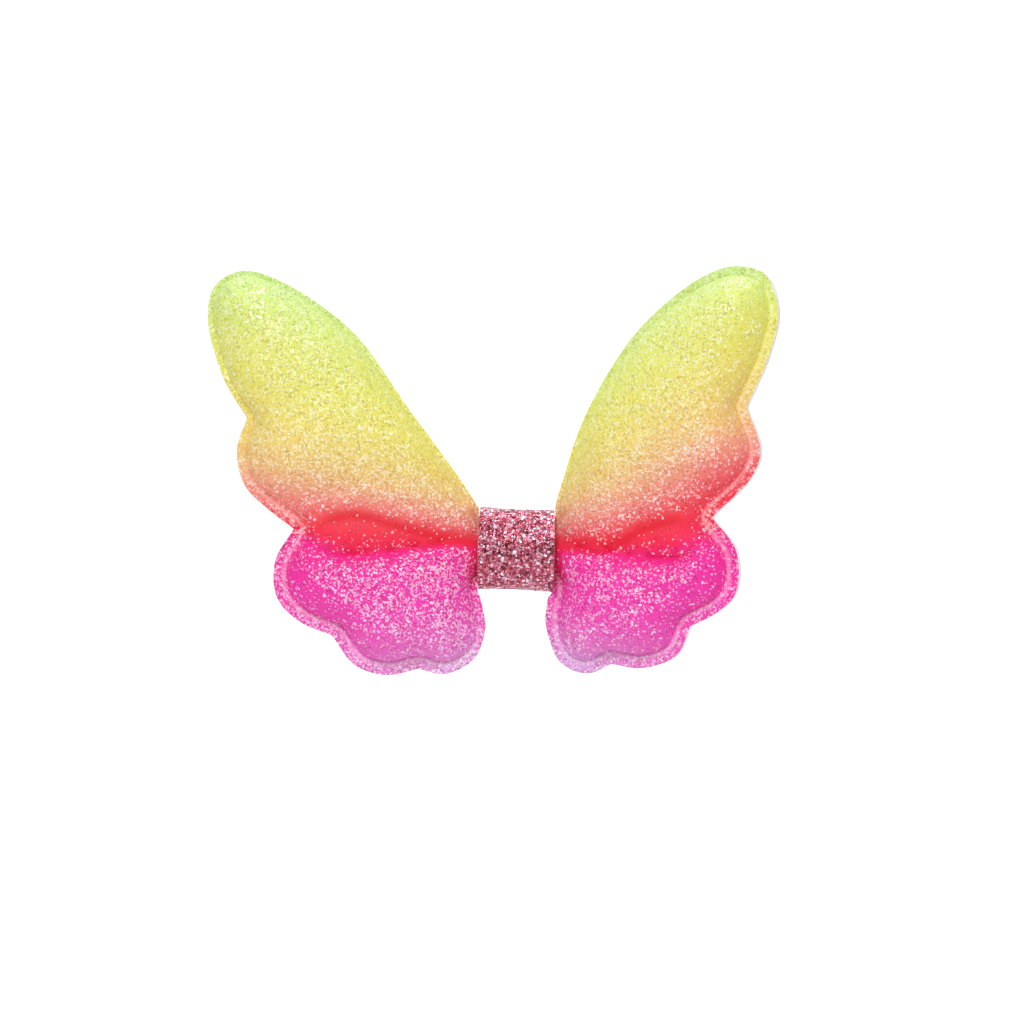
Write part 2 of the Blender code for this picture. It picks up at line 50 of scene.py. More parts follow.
# ------------------------------------------------------------------ the butterfly's pattern
FRONT_CLOTH = 0.5 * MM
BACK_CLOTH = 0.4 * MM
LAYER_GAP = 0.05 * MM
WAIST_HALF = 3.3 * MM
BACK_PLANE_Y = -2.7 * MM
FOLD_RADIUS = 8.0 * MM
FOLD_START = 4.5 * MM
LEFT_FOLD = math.radians(8)
RIGHT_FOLD = math.radians(22)

# Each wing's edge from the top of the waist round to its foot, in millimetres outwards and up.
# A run is one smooth lobe, and runs meet at the notches.
LEFT_EDGE = (
    ((5.1, 4.4), (5.0, 5.35), (5.6, 6.2), (7.5, 9.1), (14.2, 18.2), (21.9, 28.6), (31.7, 35.2),
     (36.3, 36.2), (39.6, 34.4), (40.6, 30.4), (38.5, 22.2), (35.5, 17.1)),
    ((35.5, 17.1), (36.8, 13.0), (35.8, 8.4), (32.8, 5.3), (29.4, 2.7)),
    ((29.4, 2.7), (31.8, -1.4), (31.6, -6.2), (28.6, -9.4), (24.4, -11.2)),
    ((24.4, -11.2), (21.4, -15.1), (17.2, -16.4), (13.1, -15.6)),
    ((13.1, -15.6), (9.6, -16.3), (5.6, -14.2), (4.1, -10.3), (4.5, -7.6), (4.95, -5.95), (5.25, -5.4),
     (5.2, -4.4)),
)
RIGHT_EDGE = (
    ((5.1, 4.4), (5.0, 5.2), (5.2, 6.2), (6.2, 9.1), (9.8, 18.2), (16.8, 28.5), (25.3, 35.1),
     (30.2, 36.6), (34.3, 35.4), (36.0, 30.6), (34.6, 24.6), (31.7, 18.4)),
    ((31.7, 18.4), (33.6, 12.8), (32.4, 9.4), (27.0, 4.2)),
    ((27.0, 4.2), (30.3, -0.1), (30.2, -5.6), (27.8, -8.0), (24.0, -9.9)),
    ((24.0, -9.9), (22.2, -13.6), (17.4, -15.4), (13.0, -14.9)),
    ((13.0, -14.9), (9.8, -16.2), (5.6, -14.6), (3.7, -9.6), (3.85, -7.4), (4.05, -6.3), (4.45, -5.8),
     (4.65, -4.4)),
)
# How wide the flat welded rim is at each run's start and end, in millimetres: the padding rolls over it
# on the inner edges of the upper wings.
LEFT_RIM = ((0.5, 0.7), (1.0, 1.6), (1.8, 1.8), (1.8, 1.8), (1.8, 0.9))
RIGHT_RIM = ((0.5, 1.5), (1.5, 1.7), (1.8, 1.8), (1.8, 1.8), (1.8, 1.6))
WAIST_TOP_RIM = 0.7 * MM
WAIST_FOOT_RIM = 1.3 * MM
RIM_EVENING = 12

# The valley between the upper and lower pads, from the band outwards: its upper border and its lower one,
# in millimetres outwards and up.
LEFT_VALLEY = (((4.0, 1.3), (9.0, 1.9), (15.6, 3.5), (22.0, 5.0), (29.4, 2.9)),
               ((4.0, 1.0), (8.6, 1.0), (13.2, 0.4), (19.4, -0.5), (24.2, -0.4), (29.4, 2.4)))
RIGHT_VALLEY = (((4.0, 0.9), (8.6, 0.8), (13.0, 0.6), (18.6, 3.4), (24.6, 4.6), (27.0, 4.4)),
                ((4.0, 0.6), (8.6, 0.4), (13.0, -0.1), (18.6, -1.0), (24.0, -0.6), (27.0, 3.6)))

# The pads' heights and the widths of their slopes into the valley: beside the band, and out on the wings.
VALLEY_FLOOR = (1.1 * MM, 1.3 * MM)
UPPER_PUFF = (2.2 * MM, 5.2 * MM)
LOWER_PUFF = (2.2 * MM, 4.6 * MM)
UPPER_SLOPE = (2.0 * MM, 6.2 * MM)
LOWER_SLOPE = (1.2 * MM, 2.9 * MM)
GATHER_START = 4.5 * MM
GATHER_LENGTH = 10 * MM
# How far in from the seam a pad takes to reach its full height.
UPPER_ROLL = 7.5 * MM
LOWER_ROLL = 4.2 * MM
LOWER_ROLL_POWER = 1.3
BELLY = 0.55 * MM
PAD_EVENING = 16
# Size, depth and seed of each set of lumps and wrinkles in the pads.
WRINKLES = ((5.5 * MM, 0.16 * MM, 3.1), (2.2 * MM, 0.05 * MM, 7.7))
WELD_LINE_INSET = 0.32 * MM
WELD_LINE_WIDTH = 0.20 * MM
# A slope that climbs this way, across and up, faces the light.
LIGHT_SIDE = np.array((0.75, -0.65))

# The mesh: how far apart its points are, and its rings of points, as shares of the rim and inside the seam.
MESH_STEP = 0.55 * MM
RIM_RINGS = (0.45, 0.8, 1.0)
PAD_RINGS = (0.35 * MM, 0.8 * MM, 1.3 * MM)

# The print: each colour, and how high it lies on the wing at these distances out from the middle.
PRINT_STATIONS = (5.0, 15.0, 22.0, 29.0, 36.0)
PRINT = (
    ("lilac", (0.62, 0.40, 0.72), (-17.0, -19.0, -22.0, -24.0, -26.0), (-16.0, -18.0, -22.0, -24.0, -26.0)),
    ("orchid", (0.76, 0.16, 0.54), (-12.5, -15.0, -17.0, -19.0, -20.0), (-11.5, -14.0, -17.0, -19.0, -20.0)),
    ("pink", (0.86, 0.035, 0.42), (-7.0, -8.0, -9.0, -9.0, -9.0), (-7.0, -8.0, -9.0, -9.0, -9.0)),
    ("magenta", (0.88, 0.018, 0.32), (0.2, -0.1, -0.9, 1.4, 2.0), (0.0, -0.6, -0.9, 1.6, 2.0)),
    ("crimson", (0.88, 0.012, 0.055), (0.8, 0.6, 0.0, 2.6, 3.2), (0.6, 0.1, 0.5, 4.2, 5.5)),
    ("scarlet", (0.85, 0.040, 0.070), (1.4, 2.7, 3.9, 3.6, 4.0), (1.3, 2.4, 4.8, 8.2, 11.0)),
    ("salmon", (0.87, 0.24, 0.22), (3.2, 5.1, 6.2, 6.4, 8.0), (3.0, 5.0, 7.8, 12.0, 15.0)),
    ("apricot", (0.83, 0.52, 0.18), (6.2, 8.0, 9.0, 10.5, 12.0), (5.8, 8.8, 13.0, 16.5, 19.0)),
    ("yellow", (0.80, 0.71, 0.12), (10.0, 13.5, 15.5, 17.5, 20.0), (9.0, 15.0, 20.0, 23.5, 26.0)),
    ("lime", (0.72, 0.78, 0.16), (15.0, 22.0, 25.0, 27.0, 29.0), (15.0, 22.5, 28.0, 31.0, 33.0)),
    ("green", (0.52, 0.77, 0.24), (24.0, 30.0, 32.5, 34.5, 36.5), (24.0, 31.0, 35.0, 37.0, 38.5)),
)


def smooth_run(points, step):
    """Points about a step apart on a centripetal Catmull-Rom curve through these; the last is left out."""
    ends = [2 * points[0] - points[1], *points, 2 * points[-1] - points[-2]]
    found = []
    for before, start, end, after in zip(ends, ends[1:], ends[2:], ends[3:]):
        gaps = [math.sqrt(np.linalg.norm(b - a)) for a, b in ((before, start), (start, end), (end, after))]
        k = np.cumsum([0.0, *gaps])
        count = max(1, round(np.linalg.norm(end - start) / step))
        for t in np.linspace(k[1], k[2], count, endpoint=False):
            a1 = ((k[1] - t) * before + (t - k[0]) * start) / (k[1] - k[0])
            a2 = ((k[2] - t) * start + (t - k[1]) * end) / (k[2] - k[1])
            a3 = ((k[3] - t) * end + (t - k[2]) * after) / (k[3] - k[2])
            b1 = ((k[2] - t) * a1 + (t - k[0]) * a2) / (k[2] - k[0])
            b2 = ((k[3] - t) * a2 + (t - k[1]) * a3) / (k[3] - k[1])
            found.append(((k[2] - t) * b1 + (t - k[1]) * b2) / (k[2] - k[1]))
    return found


def wing_edge(runs, rims, side, step):
    """One wing's edge points and the width of the welded rim at each."""
    points, widths = [], []
    for run, (first, last) in zip(runs, rims):
        stretch = smooth_run([np.array((side * u, w)) * MM for u, w in run], step)
        points += stretch
        widths += list(np.linspace(first, last, len(stretch)) * MM)
    points.append(np.array((side * runs[-1][-1][0], runs[-1][-1][1])) * MM)
    return points, [*widths, rims[-1][-1] * MM]


def butterfly_outline(step):
    """The whole butterfly's cut edge, anticlockwise from the right wing's foot, and the rim's width there."""
    right, right_rim = wing_edge(RIGHT_EDGE, RIGHT_RIM, 1, step)
    left, left_rim = wing_edge(LEFT_EDGE, LEFT_RIM, -1, step)
    right, right_rim = right[::-1], right_rim[::-1]
    over = smooth_run([right[-1], np.array((0.0, WAIST_HALF)), left[0]], step)[1:]
    under = smooth_run([left[-1], np.array((0.0, -WAIST_HALF)), right[0]], step)[1:]
    widths = right_rim + [WAIST_TOP_RIM] * len(over) + left_rim + [WAIST_FOOT_RIM] * len(under)
    return np.array(right + over + left + under), np.array(widths)


def soften(values, passes):
    """A closed loop's values, evened out along it."""
    for _ in range(passes):
        values = (np.roll(values, 1) + 2 * values + np.roll(values, -1)) / 4
    return values


def distance_to_line(points, line):
    """How far each point is from a line of straight pieces."""
    nearest = np.full(len(points), np.inf)
    for a, b in zip(line[:-1], line[1:]):
        along = b - a
        share = np.clip((points - a) @ along / max(along @ along, 1e-18), 0, 1)
        nearest = np.minimum(nearest, np.linalg.norm(points - a - share[:, None] * along, axis=1))
    return nearest


def inside(points, outline):
    """Which points a closed outline holds, by how often a ray from each crosses it."""
    crossings = np.zeros(len(points), int)
    for a, b in zip(outline, np.roll(outline, -1, axis=0)):
        spans = (a[1] > points[:, 1]) != (b[1] > points[:, 1])
        climb = b[1] - a[1] if b[1] != a[1] else 1.0
        crossings += spans & (points[:, 0] < a[0] + (points[:, 1] - a[1]) * (b[0] - a[0]) / climb)
    return crossings % 2 == 1


def rise(share):
    """A smooth step: 0 up to a share of 0, and 1 from a share of 1."""
    share = np.clip(share, 0, 1)
    return share * share * (3 - 2 * share)


def outwards_from_band(ends, share):
    """From a value beside the band, at a share of 0, to the one out on the wings."""
    return ends[0] + (ends[1] - ends[0]) * share


def roll(distance, radius):
    """A padded edge's height, from 0 at its seam to 1 where the pad is full."""
    return np.sqrt(1 - (1 - np.clip(distance / radius, 0, 1)) ** 2)


def folded(flat, height):
    """Where points of the flat butterfly go: each wing turns forwards past the edge of the band."""
    u, w = flat[:, 0], flat[:, 1]
    side = np.where(u >= 0, 1.0, -1.0)
    angle = np.where(u >= 0, RIGHT_FOLD, LEFT_FOLD)
    run = np.maximum(np.abs(u) - FOLD_START, 0)
    turned = np.minimum(run / FOLD_RADIUS, angle)
    straight = run - turned * FOLD_RADIUS
    across = np.abs(u) - run + FOLD_RADIUS * np.sin(turned) + straight * np.cos(turned)
    forward = FOLD_RADIUS * (1 - np.cos(turned)) + straight * np.sin(turned)
    return np.column_stack((side * (across - height * np.sin(turned)),
                            BACK_PLANE_Y - forward - height * np.cos(turned), w))


class Pattern:
    """The butterfly cut flat and meshed once, for every layer of it."""

    def __init__(self, step):
        self.outline, self.rim = butterfly_outline(step)
        self.rim = soften(self.rim, RIM_EVENING)
        closed = np.vstack((self.outline, self.outline[:1]))
        rings = [self.ring(closed, share) for share in RIM_RINGS]
        rings += [self.ring(closed, 1.0, extra) for extra in PAD_RINGS]
        low, high = self.outline.min(axis=0), self.outline.max(axis=0)
        row = 0.85 * step
        grid = np.array([(u, w) for i, w in enumerate(np.arange(low[1], high[1], row))
                         for u in np.arange(low[0] + (i % 2) * step / 2, high[0], step)])
        grid = grid[inside(grid, self.outline)]
        grid = grid[self.from_seam(grid) > PAD_RINGS[-1] + 0.6 * step]
        points = [Vector(p) for p in np.vstack((self.outline, *rings, grid))]
        loop = list(range(len(self.outline)))
        corners, _, faces, _, _, sources = delaunay_2d_cdt(points, [], [loop], 0, 1e-8, True)
        self.flat = np.array([tuple(c) for c in corners])
        self.faces = np.array([face for face, source in zip(faces, sources) if source])
        self.edge = distance_to_line(self.flat, closed)
        self.seam = self.from_seam(self.flat)
        sides = np.vstack((self.faces[:, (0, 1)], self.faces[:, (1, 2)], self.faces[:, (2, 0)]))
        self.links = np.unique(np.sort(sides, axis=1), axis=0)

    def ring(self, closed, share, extra=0.0):
        """The outline moved inwards by a share of the rim and by this much more."""
        tangent = np.roll(self.outline, -1, axis=0) - np.roll(self.outline, 1, axis=0)
        normal = np.column_stack((-tangent[:, 1], tangent[:, 0])) / np.linalg.norm(tangent, axis=1)[:, None]
        reach = self.rim * share + extra
        moved = self.outline + reach[:, None] * normal
        return moved[distance_to_line(moved, closed) > 0.92 * reach]

    def from_seam(self, points):
        """How far points lie inside the seam, negative on the rim."""
        nearest = np.full(len(points), np.inf)
        for at, width in zip(self.outline, self.rim):
            nearest = np.minimum(nearest, np.hypot(points[:, 0] - at[0], points[:, 1] - at[1]) - width)
        return nearest

    def weld(self):
        """Strength of the line pressed round the rim, which fades where the padding rolls over it."""
        nearest = np.array([np.argmin(np.hypot(*(self.outline - p).T)) for p in self.flat])
        line = np.exp(-((self.seam + WELD_LINE_INSET) / WELD_LINE_WIDTH) ** 2)
        return line * rise((self.rim[nearest] - 0.95 * MM) / (0.6 * MM))

    def slope(self, height):
        """How steeply a height climbs at each point, outwards and up."""
        a, b, c = (self.flat[self.faces[:, i]] for i in range(3))
        first, second = (height[self.faces[:, i]] - height[self.faces[:, 0]] for i in (1, 2))
        (bu, bw), (cu, cw) = (b - a).T, (c - a).T
        area = bu * cw - bw * cu
        climb = np.column_stack((first * cw - second * bw, second * bu - first * cu)) / area[:, None]
        total = np.zeros_like(self.flat)
        for i in range(3):
            np.add.at(total, self.faces[:, i], climb)
        return total / np.bincount(self.faces.ravel(), minlength=len(self.flat))[:, None]

    def even(self, values, passes, weight):
        """Values evened out over the mesh, by each point's weight."""
        a, b = self.links.T
        count = np.bincount(a, minlength=len(values)) + np.bincount(b, minlength=len(values))
        for _ in range(passes):
            total = np.bincount(a, values[b], len(values)) + np.bincount(b, values[a], len(values))
            values = values + 0.5 * weight * (total / np.maximum(count, 1) - values)
        return values


def valley_lines(flat):
    """Heights of the valley's upper and lower borders, as far out from the middle as each point is."""
    out = np.abs(flat[:, 0]) / MM
    upper, lower = np.zeros(len(flat)), np.zeros(len(flat))
    for sign, valley in ((-1, LEFT_VALLEY), (1, RIGHT_VALLEY)):
        chosen = np.sign(flat[:, 0] + 1e-12) == sign
        curves = []
        for border in valley:
            line = np.array(smooth_run([np.array(p) for p in border], 0.5) + [np.array(border[-1])])
            curves.append(np.interp(out, line[:, 0], line[:, 1]) * MM)
        upper[chosen], lower[chosen] = curves[0][chosen], curves[1][chosen]
    return upper, lower


def puff(pattern):
    """Height of the front cloth's padded part over its rim."""
    flat, seam = pattern.flat, pattern.seam
    upper, lower = valley_lines(flat)
    above, below = flat[:, 1] - upper, lower - flat[:, 1]
    out = rise((np.abs(flat[:, 0]) - GATHER_START) / GATHER_LENGTH)
    floor, top, foot, upper_slope, lower_slope = (
        outwards_from_band(ends, out)
        for ends in (VALLEY_FLOOR, UPPER_PUFF, LOWER_PUFF, UPPER_SLOPE, LOWER_SLOPE))
    upper_pad = floor + (top - floor) * rise(0.5 * above / upper_slope + 0.12) ** 0.8
    lower_pad = floor + (foot - floor) * roll(below, lower_slope)
    belly = BELLY * out * np.sin(np.pi * np.clip(-above / np.maximum(upper - lower, 0.1 * MM), 0, 1))
    height = np.where(above > 0, upper_pad, np.where(below > 0, lower_pad, floor + belly))
    radius = np.where(above > 0, UPPER_ROLL, LOWER_ROLL)
    height = height * roll(seam, radius) ** np.where(above > 0, 1.0, LOWER_ROLL_POWER)
    free = rise(seam / (1.2 * MM)) * rise((np.abs(below) - 0.1 * MM) / (1.4 * MM))
    height = pattern.even(height, PAD_EVENING, free)
    return np.where(seam > 0, np.maximum(height, 0), 0)


def lumps(flat, size, depth, seed):
    """Smooth random bumps of about this size."""
    return np.array([noise.noise(Vector((u / size, w / size, seed))) for u, w in flat]) * depth


def glitter_and_painted_light(pattern, dome):
    """How thickly the pale and bright flakes show. This is partly the glitter's own cover and partly painted
    light: more flakes where the cloth lies open and faces the light, and fewer on slopes turned from it, down
    in the valley and beside the band, where shade falls.
    """
    flat = pattern.flat
    upper, lower = valley_lines(flat)
    slope = pattern.slope(dome)
    # Painted highlight and shade: flakes thin out on slopes turned away from the light.
    away = np.clip(0.5 - 0.9 * (slope @ LIGHT_SIDE), 0, 1)
    steep = np.linalg.norm(slope, axis=1)
    outwards = (0.6 * slope[:, 1] - 0.8 * slope[:, 0] * np.sign(flat[:, 0])) / np.maximum(steep, 1e-6)
    above_top, above_foot = flat[:, 1] - upper, flat[:, 1] - lower
    loss = np.where(above_foot < 0, 0.75 * np.clip(0.5 + 0.8 * outwards, 0.05, 1), 0.2 + 0.45 * away)
    shown = 1 - loss * rise((steep - 0.25) / 0.6)
    # Painted shade: few flakes down in the valley.
    depth = -above_top / np.maximum(upper - lower, 1.0 * MM)
    valley = np.where(depth < 0, np.exp(-(above_top / (1.3 * MM)) ** 2), 1 - 0.28 * rise(depth - 0.2))
    valley = np.where(above_foot < 0, np.exp(-(above_foot / (0.9 * MM)) ** 2), valley)
    # Painted shadow: fewer flakes in the shade beside the band.
    beside_band = rise((8.0 * MM - np.abs(flat[:, 0])) / (2.5 * MM)) * rise((2 * MM - flat[:, 1]) / (2 * MM))
    padded = rise(pattern.seam / (1.2 * MM))
    # Painted shade: fewer flakes on the right lower pad, which turns more towards the lamps.
    right_foot = 0.3 * rise(flat[:, 0] / MM) * rise(-above_foot / MM)
    upper_rim = 0.35 * rise(-pattern.seam / (0.4 * MM)) * rise(above_top / (2 * MM))
    shown = (shown - padded * (0.95 * valley + 0.7 * beside_band)) * (1 - right_foot) * (1 - upper_rim)
    return np.clip(shown, 0.03, 1)


def painted_crease_shade(pattern):
    """Depth of painted shade along the valley's two borders: how far the ink is darkened to deep crimson
    there.
    """
    flat = pattern.flat
    upper, lower = valley_lines(flat)
    from_roof = flat[:, 1] - upper + 0.7 * MM
    roof = np.exp(-(from_roof / np.where(from_roof > 0, 1.1 * MM, 0.6 * MM)) ** 2)
    foot = np.exp(-((flat[:, 1] - lower - 0.3 * MM) / (0.45 * MM)) ** 2)
    return np.maximum(roof, 0.7 * foot) * rise(pattern.seam / (4 * MM))


def print_place(flat):
    """Where each point lies in the printed run of colours, from 0 at the foot to 1 at the tip; beside the
    band it is pulled towards crimson as painted shadow.
    """
    out = np.clip(np.abs(flat[:, 0]) / MM, PRINT_STATIONS[0], PRINT_STATIONS[-1])
    levels = np.linspace(0, 1, len(PRINT))
    found = np.zeros(len(flat))
    for column, chosen in ((2, flat[:, 0] < 0), (3, flat[:, 0] >= 0)):
        heights = np.array([np.interp(out, PRINT_STATIONS, stop[column]) for stop in PRINT]) * MM
        for i in np.flatnonzero(chosen):
            found[i] = np.interp(flat[i, 1], heights[:, i], levels)
    # Painted shadow: beside the band and low on the wing, the colour is pushed to crimson where the band's
    # shade falls.
    beside_band = rise((8.2 * MM - np.abs(flat[:, 0])) / (2.8 * MM))
    painted_band_shadow = 0.9 * beside_band * rise((flat[:, 1] + 6.0 * MM) / (2.5 * MM))
    crimson = levels[[stop[0] for stop in PRINT].index("crimson")]
    return found + np.where(found < crimson, painted_band_shadow * (crimson - found), 0)


# ------------------------------------------------------------------ meshes and node graphs

def mesh_piece(name, points, faces, materials, sharp=65):
    """A smooth object of these points and faces, sharp where faces meet at more than this many degrees."""
    data = bpy.data.meshes.new(name)
    data.from_pydata([tuple(p) for p in points], [], [tuple(int(i) for i in f) for f in faces])
    data.validate()
    for finish in materials:
        data.materials.append(finish)
    data.shade_smooth()
    data.set_sharp_from_angle(angle=math.radians(sharp))
    obj = bpy.data.objects.new(name, data)
    bpy.context.scene.collection.objects.link(obj)
    return obj


def open_sides(faces):
    """The directed sides that only one face has."""
    sides = np.vstack((faces[:, (0, 1)], faces[:, (1, 2)], faces[:, (2, 0)]))
    _, first, count = np.unique(np.sort(sides, axis=1), axis=0, return_index=True, return_counts=True)
    return sides[first[count == 1]]


def layer_piece(name, pattern, bottom, top, materials, attributes, inset=None):
    """A closed layer of the folded butterfly between two heights; its wall takes the second material."""
    faces = pattern.faces
    if inset is not None:
        faces = faces[(pattern.seam[faces] > inset).all(axis=1)]
    kept, faces = np.unique(faces, return_inverse=True)
    faces = faces.reshape(-1, 3)
    count, flat = len(kept), pattern.flat[kept]
    points = np.vstack((folded(flat, top[kept]), folded(flat, bottom[kept])))
    front = [tuple(f) for f in faces]
    back = [tuple(f[::-1] + count) for f in faces]
    wall = [(b, a, a + count, b + count) for a, b in open_sides(faces)]
    obj = mesh_piece(name, points, front + back + wall, materials)
    obj.data.polygons.foreach_set("material_index", [0] * (len(front) + len(back)) + [1] * len(wall))
    for key, values in attributes.items():
        attribute = obj.data.attributes.new(key, "FLOAT", "POINT")
        attribute.data.foreach_set("value", np.tile(values[kept], 2).astype(np.float32))
    return obj


class Graph:
    """A material's nodes, added by type with their inputs, which may be other nodes' sockets."""

    def __init__(self, name):
        self.material = bpy.data.materials.new(name)
        self.material.use_nodes = True
        self.tree = self.material.node_tree
        self.shader = self.tree.nodes["Principled BSDF"]

    def add(self, kind, inputs=(), out=0, **settings):
        node = self.tree.nodes.new("ShaderNode" + kind)
        for key, value in settings.items():
            setattr(node, key, value)
        for key, value in dict(inputs).items():
            self.put(node, key, value)
        return node.outputs[out]

    def put(self, node, key, value):
        socket = node.inputs[key]
        if isinstance(value, bpy.types.NodeSocket):
            self.tree.links.new(value, socket)
        else:
            socket.default_value = value

    def shade(self, **inputs):
        for key, value in inputs.items():
            self.put(self.shader, key.replace("_", " "), value)

    def math(self, operation, a, b):
        return self.add("Math", {0: a, 1: b}, operation=operation)

    def vector(self, operation, a, b=(0, 0, 0)):
        return self.add("VectorMath", {0: a, 1: b}, operation=operation)

    def mix(self, share, a, b, blend="MIX"):
        node = self.tree.nodes.new("ShaderNodeMix")
        node.data_type = "RGBA"
        node.blend_type = blend
        for key, value in ((0, share), (6, a), (7, b)):
            self.put(node, key, (*value, 1.0) if isinstance(value, tuple) and len(value) == 3 else value)
        return node.outputs[2]

    def between(self, value, low, high):
        """0 where the value is at or under low and 1 at or over high."""
        return self.add("MapRange", {"Value": value, "From Min": low, "From Max": high}, clamp=True,
                        interpolation_type="SMOOTHSTEP")

    def attribute(self, name):
        return self.add("Attribute", out=2, attribute_name=name)

    def place(self):
        return self.add("TexCoord", out=3)

    def ramp(self, value, stops):
        node = self.tree.nodes.new("ShaderNodeValToRGB")
        node.color_ramp.interpolation = "B_SPLINE" if len(stops) > 6 else "LINEAR"
        elements = node.color_ramp.elements
        while len(elements) < len(stops):
            elements.new(1.0)
        for element, (position, colour) in zip(elements, stops):
            element.position = position
            element.color = (*colour, 1.0)
        self.put(node, 0, value)
        return node.outputs[0]

    def cells(self, size, seed=0.0):
        """Random cells of this size: distance to a cell's middle, its colour, and the colour's parts."""
        shifted = self.vector("ADD", self.place(), (seed, seed, seed))
        node = self.tree.nodes.new("ShaderNodeTexVoronoi")
        self.put(node, "Vector", shifted)
        self.put(node, "Scale", 1.0 / size)
        split = self.tree.nodes.new("ShaderNodeSeparateColor")
        self.tree.links.new(node.outputs["Color"], split.inputs[0])
        return node.outputs["Distance"], node.outputs["Color"], *split.outputs

    def tilted(self, colour, amount, normal):
        """The normal turned at random by a cell's colour."""
        turn = self.vector("SUBTRACT", colour, (0.5, 0.5, 0.5))
        jitter = self.add("VectorMath", {0: turn, "Scale": amount}, operation="SCALE")
        return self.vector("NORMALIZE", self.vector("ADD", normal, jitter))

    def bump(self, height, depth):
        return self.add("Bump", {"Height": height, "Distance": depth, "Strength": 1.0})


# ------------------------------------------------------------------ materials

FINE_FLAKE = 0.205 * MM
BRIGHT_FLAKE = 0.28 * MM
CHUNKY_FLAKE = 0.46 * MM
FILLING_FLAKE = 0.24 * MM
BONDED_DOTS = 1.5 * MM
WHITE = (1.0, 1.0, 1.0)


def printed_glitter():
    """Printed fabric under a coat of fine glitter: tinted flakes, each with its own tilt, with painted
    sparkle in the flakes' colour and painted shade along the valley.
    """
    g = Graph("printed_glitter_fabric")
    stops = [(i / (len(PRINT) - 1), stop[1]) for i, stop in enumerate(PRINT)]
    ink = g.ramp(g.attribute("print_place"), stops)
    # Painted shade: the ink is darkened to deep crimson along the valley's upper and lower borders.
    ink = g.mix(g.math("MULTIPLY", g.attribute("painted_crease_shade"), 0.8), ink, (0.72, 0.004, 0.022))
    grain = g.add("TexNoise", {"Vector": g.place(), "Scale": 5200.0, "Detail": 3.0, "Roughness": 0.7})
    patches = g.add("TexNoise", {"Vector": g.place(), "Scale": 1000.0, "Detail": 2.0}, out=1)
    ink = g.mix(0.30, ink, patches, "SOFT_LIGHT")
    grain = g.ramp(grain, [(0.32, (0.25, 0.25, 0.25)), (0.68, (0.78, 0.78, 0.78))])
    ink = g.mix(0.28, ink, grain, "OVERLAY")
    _, tilt, chance, shade, tone = g.cells(FINE_FLAKE)
    _, big_tilt, big_chance, _, _ = g.cells(BRIGHT_FLAKE, 0.31)
    seam, glitter_and_painted_light, weld = g.attribute("seam"), g.attribute("glitter_and_painted_light"), g.attribute("weld")
    on_rim = g.between(seam, -0.2 * MM, -0.7 * MM)
    cover = g.math("MULTIPLY", glitter_and_painted_light, g.math("ADD", 0.38, g.math("MULTIPLY", on_rim, 0.08)))
    # The pale and bright flakes are partly the glitter's own pale flakes and partly painted sparkle; how many
    # show follows the painted light attribute.
    pale = g.math("GREATER_THAN", cover, chance)
    bright = g.math("GREATER_THAN", g.math("MULTIPLY", glitter_and_painted_light, 0.10), big_chance)
    whiteness = g.add("MapRange", {"Value": g.attribute("print_place"), "From Min": 0.38, "From Max": 0.70,
                                   "To Min": 0.55, "To Max": 0.30})
    flake = g.mix(whiteness, g.mix(1.0, ink, ink, "SCREEN"), WHITE)
    strength = g.math("MULTIPLY", g.math("ADD", shade, 0.3), 0.72)
    colour = g.mix(g.math("MULTIPLY", pale, strength), ink, flake)
    # Painted sparkle: the brightest flakes are coloured near white, standing in for glints.
    painted_sparkle = g.mix(0.30, g.mix(0.30, flake, WHITE), big_tilt, "SOFT_LIGHT")
    colour = g.mix(g.math("MULTIPLY", bright, 0.85), colour, painted_sparkle)
    speck = g.math("GREATER_THAN", g.math("ADD", 0.02, g.math("MULTIPLY", glitter_and_painted_light, 0.14)), tone)
    dark = g.math("MULTIPLY", speck, g.math("ADD", 0.12, whiteness))
    colour = g.mix(dark, colour, g.mix(1.0, ink, (0.50, 0.42, 0.42), "MULTIPLY"))
    colour = g.mix(g.math("MULTIPLY", weld, 0.40), colour, flake)
    flakes = g.math("MAXIMUM", g.math("MULTIPLY", pale, shade), bright)
    relief = g.math("ADD", g.math("MULTIPLY", weld, 0.9), g.math("MULTIPLY", chance, 0.22))
    normal = g.tilted(tilt, g.math("MULTIPLY", glitter_and_painted_light, 0.34), g.bump(relief, 0.12 * MM))
    rough = g.add("MapRange", {"Value": flakes, "To Min": 0.6, "To Max": 0.25})
    g.shade(Base_Color=colour, Metallic=g.math("MULTIPLY", flakes, 0.15), Roughness=rough, Normal=normal,
            Specular_IOR_Level=0.3)
    return g.material


def cut_edge():
    """The layers' pale edge where the welded fabric is cut through."""
    g = Graph("cut_edge")
    grain = g.add("TexNoise", {"Vector": g.place(), "Scale": 4000.0, "Detail": 3.0})
    colour = g.mix(grain, (0.92, 0.85, 0.87), (0.99, 0.96, 0.97))
    g.shade(Base_Color=colour, Roughness=0.8, Normal=g.bump(grain, 0.05 * MM))
    return g.material


